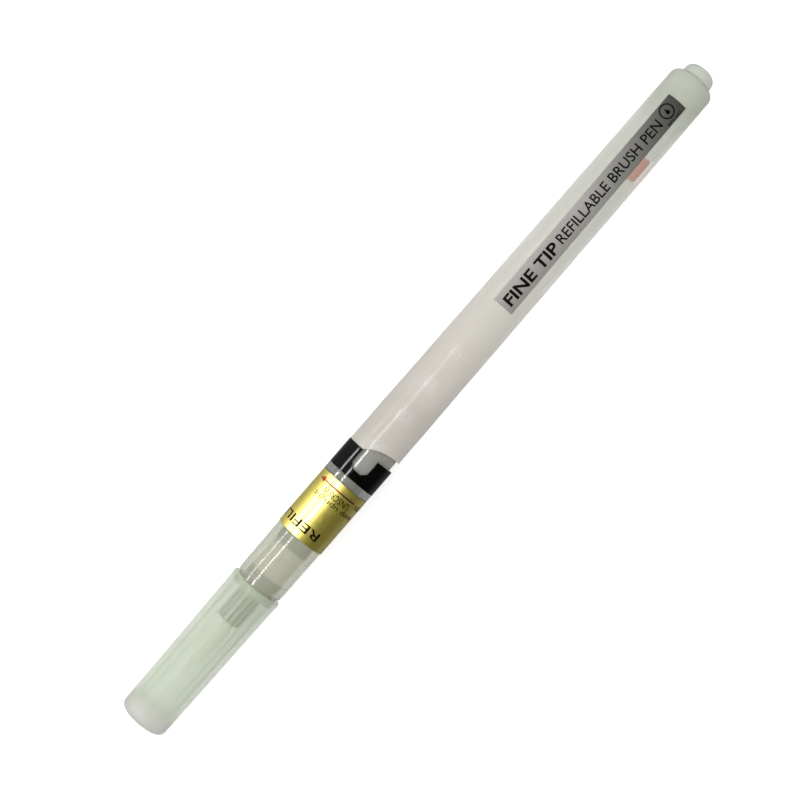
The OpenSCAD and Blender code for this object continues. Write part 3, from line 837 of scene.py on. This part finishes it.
def make_barrel():
    """Soft barrel: scalloped mouth, inner thread, slight dents, round tail with a hole for the plug."""
    corner, plug_r, tail_wall = 1.8 * MM, 2.6 * MM, 1.2 * MM
    skirt_r, skirt = 5.05 * MM, BARREL_START + 5.15 * MM
    crest_r, thread_start, turns = 4.22 * MM, BARREL_START + 6.95 * MM, 2
    settle = 11 * MM
    dents = [BARREL_START + d * MM for d in (2.3, 10.3, 18.2, 27.3)]

    def shaped(station, radius, angle):
        bore = barrel_r(station) - BARREL_WALL
        if thread_start - 1 * MM < station < thread_start + 5.2 * MM and abs(radius - bore) < 1e-6:
            lift = thread_lift(station, angle, thread_start, turns)
            radius = mix(bore, crest_r, lift)
        along = station - BARREL_START
        if radius > skirt_r + 1e-6 and along > 0.3 * MM:
            around = (angle + math.pi) % (2 * math.pi) - math.pi
            for dent in dents:
                far = ((station - dent) / (1.5 * MM)) ** 2 + ((around + 0.12) / 0.3) ** 2
                radius -= 0.035 * MM * math.exp(-far)
            radius += 0.012 * MM * math.sin(station / (3.1 * MM) + 2 * around) - 0.012 * MM
        push = scalloped_edge(angle) * (1 - smooth(along / settle))
        if radius < skirt_r + 1e-6 and along > 5 * MM:
            push = 0
        return station + push, radius

    outer = [(BARREL_START, skirt_r), (BARREL_START, BARREL_R - 0.12 * MM)]
    outer += arc(BARREL_START + 0.12 * MM, BARREL_R - 0.12 * MM, 0.12 * MM, -80, 0, 4)
    count = 120
    first, last = BARREL_START + 0.4 * MM, BARREL_END - corner
    for i in range(count):
        station = mix(first, last, i / count)
        outer.append((station, barrel_r(station)))
    outer += arc(BARREL_END - corner, barrel_r(BARREL_END) - corner, corner, 0, 90, 10)
    outer += [(BARREL_END, plug_r)]

    inside_end = BARREL_END - tail_wall
    bore_end = barrel_r(inside_end) - BARREL_WALL
    inner = [(inside_end, plug_r)] + arc(inside_end - 1 * MM, bore_end - 1 * MM, 1 * MM, 90, 0, 8)
    stations = [mix(inside_end - 3 * MM, thread_start + 6 * MM, i / 12) for i in range(13)]
    stations += [mix(thread_start + 5.4 * MM, skirt + 0.4 * MM, i / 80) for i in range(81)]
    inner += [(s, barrel_r(s) - BARREL_WALL) for s in stations]
    inner += [(skirt, skirt_r), (BARREL_START + 3.5 * MM, skirt_r), (BARREL_START + 2 * MM, skirt_r)]
    barrel = turned("barrel_tube", [(0, outer), (1, inner)], [BARREL, BARREL_INNER], shaped, sharp=40)
    belongs(barrel, "barrel", "barrel_plastic", "squeeze_barrel")


STRIP_MIDDLE = math.radians(2.25)
STRIP_HALF = math.radians(25.5)
STRIP_SKEW = math.radians(3.2)


def strip_angle(x):
    """Middle of the strip label at a station; it was stuck on a little askew."""
    t = (x - STRIP_START) / (STRIP_END - STRIP_START)
    return STRIP_MIDDLE + STRIP_SKEW * (1 - 2 * t)


def on_strip(x, y, height):
    """x along the strip from its left end, y across it from its middle towards +Y."""
    station = STRIP_START + x
    radius = barrel_r(station)
    return place(station, radius + LABEL_GAP + FOIL + height, strip_angle(station) - y / radius)


def make_strip():
    """Long silver label with its printing: bold words, a thin line, a plain ring with a drop, and a tiny
    word under it."""
    length = STRIP_END - STRIP_START
    columns, rows = 60, 14
    bm = bmesh.new()
    grids = []
    for level in (-FOIL, 0):
        grid = []
        for i in range(columns + 1):
            x = length * i / columns
            half = STRIP_HALF * barrel_r(STRIP_START + x)
            across = [mix(-half, half, j / rows) for j in range(rows + 1)]
            grid.append([bm.verts.new(on_strip(x, y, level)) for y in across])
        grids.append(grid)
    for grid in grids:
        for i in range(columns):
            for j in range(rows):
                bm.faces.new([grid[i][j], grid[i + 1][j], grid[i + 1][j + 1], grid[i][j + 1]])
    low, high = grids
    for i in range(columns):
        for j in (0, rows):
            bm.faces.new([low[i][j], low[i + 1][j], high[i + 1][j], high[i][j]])
    for j in range(rows):
        for i in (0, columns):
            bm.faces.new([low[i][j], low[i][j + 1], high[i][j + 1], high[i][j]])
    strip = add_object("silver_strip", bm, [SILVER], 50)
    belongs(strip, "barrel", "silver_foil", "strip_label")

    bold = words("FINE TIP", 2.5 * MM, 15.6 * MM, 0.026)
    thin = words("REFILLABLE BRUSH PEN", 2.2 * MM, 31.8 * MM, 0.011)
    tiny = words("REFILLABLE", 0.55 * MM, 3.8 * MM, 0.012)
    sheets = [moved(bold, 1.1 * MM, -1.35 * MM), moved(thin, 17.6 * MM, -1.1 * MM)]
    sheets += [moved(tiny, 50.2 * MM, -2.1 * MM), ring_icon(52.1 * MM, 0.35 * MM)]
    ink = wrapped("strip_print", sheets, INK, on_strip, [INK_BLACK])
    belongs(ink, "barrel", "black_plastic")


def ring_icon(x, y):
    """A plain ring with a drop in it."""
    bm = bmesh.new()
    outer, inner, count = 1.64 * MM, 1.34 * MM, 40
    for i in range(count):
        a, b = 2 * math.pi * i / count, 2 * math.pi * (i + 1) / count
        corners = [(outer, a), (outer, b), (inner, b), (inner, a)]
        bm.faces.new([bm.verts.new((x + r * math.cos(t), y + r * math.sin(t), 0)) for r, t in corners])
    drop = []
    for i in range(24):
        a = 2 * math.pi * i / 24
        point = 0.55 * MM * (1 - math.cos(a)) / 2
        drop.append(bm.verts.new((x + point * math.sin(a) * 1.25, y + 0.75 * MM * math.cos(a), 0)))
    bm.faces.new(drop)
    bmesh.ops.remove_doubles(bm, verts=bm.verts, dist=1e-7)
    return bm


def make_sticker():
    """Small red sticker with rounded corners on the barrel's far side."""
    low, high = math.radians(128), math.radians(190)
    middle = (STICKER_START + STICKER_END) / 2
    radius = barrel_r(middle)
    half_x, half_y, corner = (STICKER_END - STICKER_START) / 2, (high - low) / 2 * radius, 0.8 * MM
    points = []
    for sx, sy, start in ((1, 1, 0), (-1, 1, 90), (-1, -1, 180), (1, -1, 270)):
        for i in range(7):
            a = math.radians(start + 15 * i)
            x = sx * (half_x - corner) + corner * math.cos(a)
            points.append((x, sy * (half_y - corner) + corner * math.sin(a)))

    def on_underside(x, y, height):
        station = middle + x
        return place(station, barrel_r(station) + LABEL_GAP + height, (low + high) / 2 - y / radius)

    sticker = wrapped("red_sticker", [outline_sheet(points)], FOIL, on_underside, [RED])
    belongs(sticker, "barrel", "red_film", "lot_sticker")


def make_plug():
    """Tail plug: barbed stem in the barrel and a domed knob behind a fine groove."""
    knob_r, stem_r, knob_corner = 3.47 * MM, 2.55 * MM, 1.9 * MM
    barb = BARREL_END - 1.25 * MM
    seat = BARREL_END + 0.02 * MM
    outline = [(PLUG_START, 0), (PLUG_START, 2.3 * MM), (barb, 2.95 * MM), (barb, stem_r), (seat, stem_r)]
    outline += [(seat, knob_r - 0.1 * MM), (seat + 0.1 * MM, knob_r)]
    outline += arc(PLUG_END - knob_corner, knob_r - knob_corner, knob_corner, 0, 90, 14)
    outline += [(PLUG_END, 0)]
    plug = turned("tail_knob", [(0, outline)], [PLUG])
    belongs(plug, "tail_plug", "plug_plastic", "tail_plug")


def dress_nodes():
    """CAD nodes whose shape is right keep it and get their material."""
    looks = {
        "nozzle": NOZZLE_PLASTIC,
        "tuft_base": WHITE,
        "feed_tube": WHITE,
        "front_retainer": GREY,
        "rear_retainer": DARK_GREY,
        "felt_regulator": FELT,
        "neck_o_ring": RUBBER,
        "orifice_plug": WHITE,
    }
    for name, material in looks.items():
        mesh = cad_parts[name].data
        mesh.materials.clear()
        mesh.materials.append(material)


# ---------------------------------------------------------------- studio


def make_floor():
    """A round pale floor inside a pale dome. Reflections see the room's own light instead of either."""
    floor_r, dome_r = 2.4, 2.5
    near, far = 0.66, 0.93
    bm = bmesh.new()
    bmesh.ops.create_circle(bm, cap_ends=True, segments=96, radius=floor_r)
    n = Nodes("floor_paper", (0.6, 0.6, 0.6), 0.95, Emission_Color=(1, 1, 1, 1), Emission_Strength=near)
    n.colour(n.blend_colour(n.noise(40 * MM, 3), (0.59, 0.59, 0.59), (0.61, 0.61, 0.61)))
    n.roughness(n.ranged(n.noise(2 * MM, 2), 0.3, 0.7, 0.9, 1.0))
    n.link(n.ranged(n.distance(), 0.35, 1.6, near, far), n.shader.inputs["Emission Strength"])
    floor = add_object("floor", bm, [n.material])
    floor.visible_glossy = floor.visible_transmission = False

    bm = bmesh.new()
    bmesh.ops.create_uvsphere(bm, u_segments=48, v_segments=24, radius=dome_r)
    n = Nodes("dome_paper", (0, 0, 0), 1.0, Emission_Color=(1, 1, 1, 1), Emission_Strength=far + 0.02)
    dome = add_object("dome", bm, [n.material])
    dome.visible_glossy = dome.visible_transmission = dome.visible_diffuse = dome.visible_shadow = False


def make_world():
    """A dark room with a grey wall on the +Y side and a grey ground, seen only in reflections and
    through clear plastic."""
    world = bpy.data.worlds.new("studio")
    bpy.context.scene.world = world
    world.use_nodes = True
    world.cycles_visibility.diffuse = False
    tree = world.node_tree
    direction = tree.nodes.new("ShaderNodeTexCoord")
    split = tree.nodes.new("ShaderNodeSeparateXYZ")
    ramp = tree.nodes.new("ShaderNodeValToRGB")
    ramp.color_ramp.elements[0].position = 0.1
    ramp.color_ramp.elements[0].color = (0.06, 0.06, 0.06, 1)
    ramp.color_ramp.elements[1].position = 0.95
    ramp.color_ramp.elements[1].color = (0.5, 0.5, 0.5, 1)
    tree.links.new(direction.outputs["Generated"], split.inputs["Vector"])
    tree.links.new(split.outputs["Y"], ramp.inputs["Fac"])
    below = tree.nodes.new("ShaderNodeMapRange")
    below.inputs["From Min"].default_value = 0
    below.inputs["From Max"].default_value = -0.5
    tree.links.new(split.outputs["Z"], below.inputs["Value"])
    room = tree.nodes.new("ShaderNodeMixRGB")
    room.inputs["Color2"].default_value = (0.25, 0.25, 0.25, 1)
    tree.links.new(below.outputs["Result"], room.inputs["Fac"])
    tree.links.new(ramp.outputs["Color"], room.inputs["Color1"])
    tree.links.new(room.outputs["Color"], tree.nodes["Background"].inputs["Color"])


def area_light(name, angle, distance, length, width, power, station=0.0):
    """A lamp above the +Y side, its long side along the pen. The angle is from the vertical."""
    data = bpy.data.lights.new(name, "AREA")
    data.shape, data.size, data.size_y, data.energy = "RECTANGLE", length, width, power
    lamp = bpy.data.objects.new(name, data)
    bpy.context.scene.collection.objects.link(lamp)
    a = math.radians(angle)
    back = Vector((0, math.sin(a), math.cos(a)))
    side = Vector((1, 0, 0))
    turn = Matrix((side, back.cross(side), back)).transposed().to_4x4()
    lamp.matrix_world = Matrix.Translation(Vector((station, 0, 0)) + back * distance) @ turn
    lamp.visible_camera = False
    return lamp


def make_camera():
    """Straight above the pen, turned so that the pen runs from lower left to upper right."""
    data = bpy.data.cameras.new("camera")
    data.lens, data.sensor_width = 67.2, 36
    data.clip_start, data.clip_end = 0.01, 10
    camera = bpy.data.objects.new("camera", data)
    bpy.context.scene.collection.objects.link(camera)
    middle = (FRONT + TAIL) / 2
    camera.location = (middle - 3.8 * MM, 2.93 * MM, AXIS_Z + 310 * MM)
    camera.rotation_euler = (0, 0, math.radians(-49.08))
    bpy.context.scene.camera = camera


def make_studio():
    """Soft light from above. Four narrow lamps give the pen its highlights and light nothing else."""
    make_floor()
    make_world()
    overhead = area_light("overhead", 9, 0.7, 1.5, 1.2, 9.2, 0.03)
    overhead.visible_glossy = False
    for lamp in (
        area_light("low_front", 58, 0.36, 0.168, 0.04, 0.49, -0.106),
        area_light("low_middle", 58, 0.36, 0.081, 0.04, 0.06, 0.018),
        area_light("low_rear", 58, 0.36, 0.056, 0.04, 0.17, 0.087),
        area_light("high", 24, 0.36, 0.235, 0.034, 0.78, -0.074),
    ):
        lamp.visible_diffuse = lamp.visible_transmission = False
    make_camera()
    view = bpy.context.scene.view_settings
    view.view_transform = "Standard"
    view.look = "None"


make_studio()
make_cap()
make_bristles()
make_grip()
make_wrap()
make_wrap_print()
make_neck()
make_ring()
make_barrel()
make_strip()
make_sticker()
make_plug()
dress_nodes()
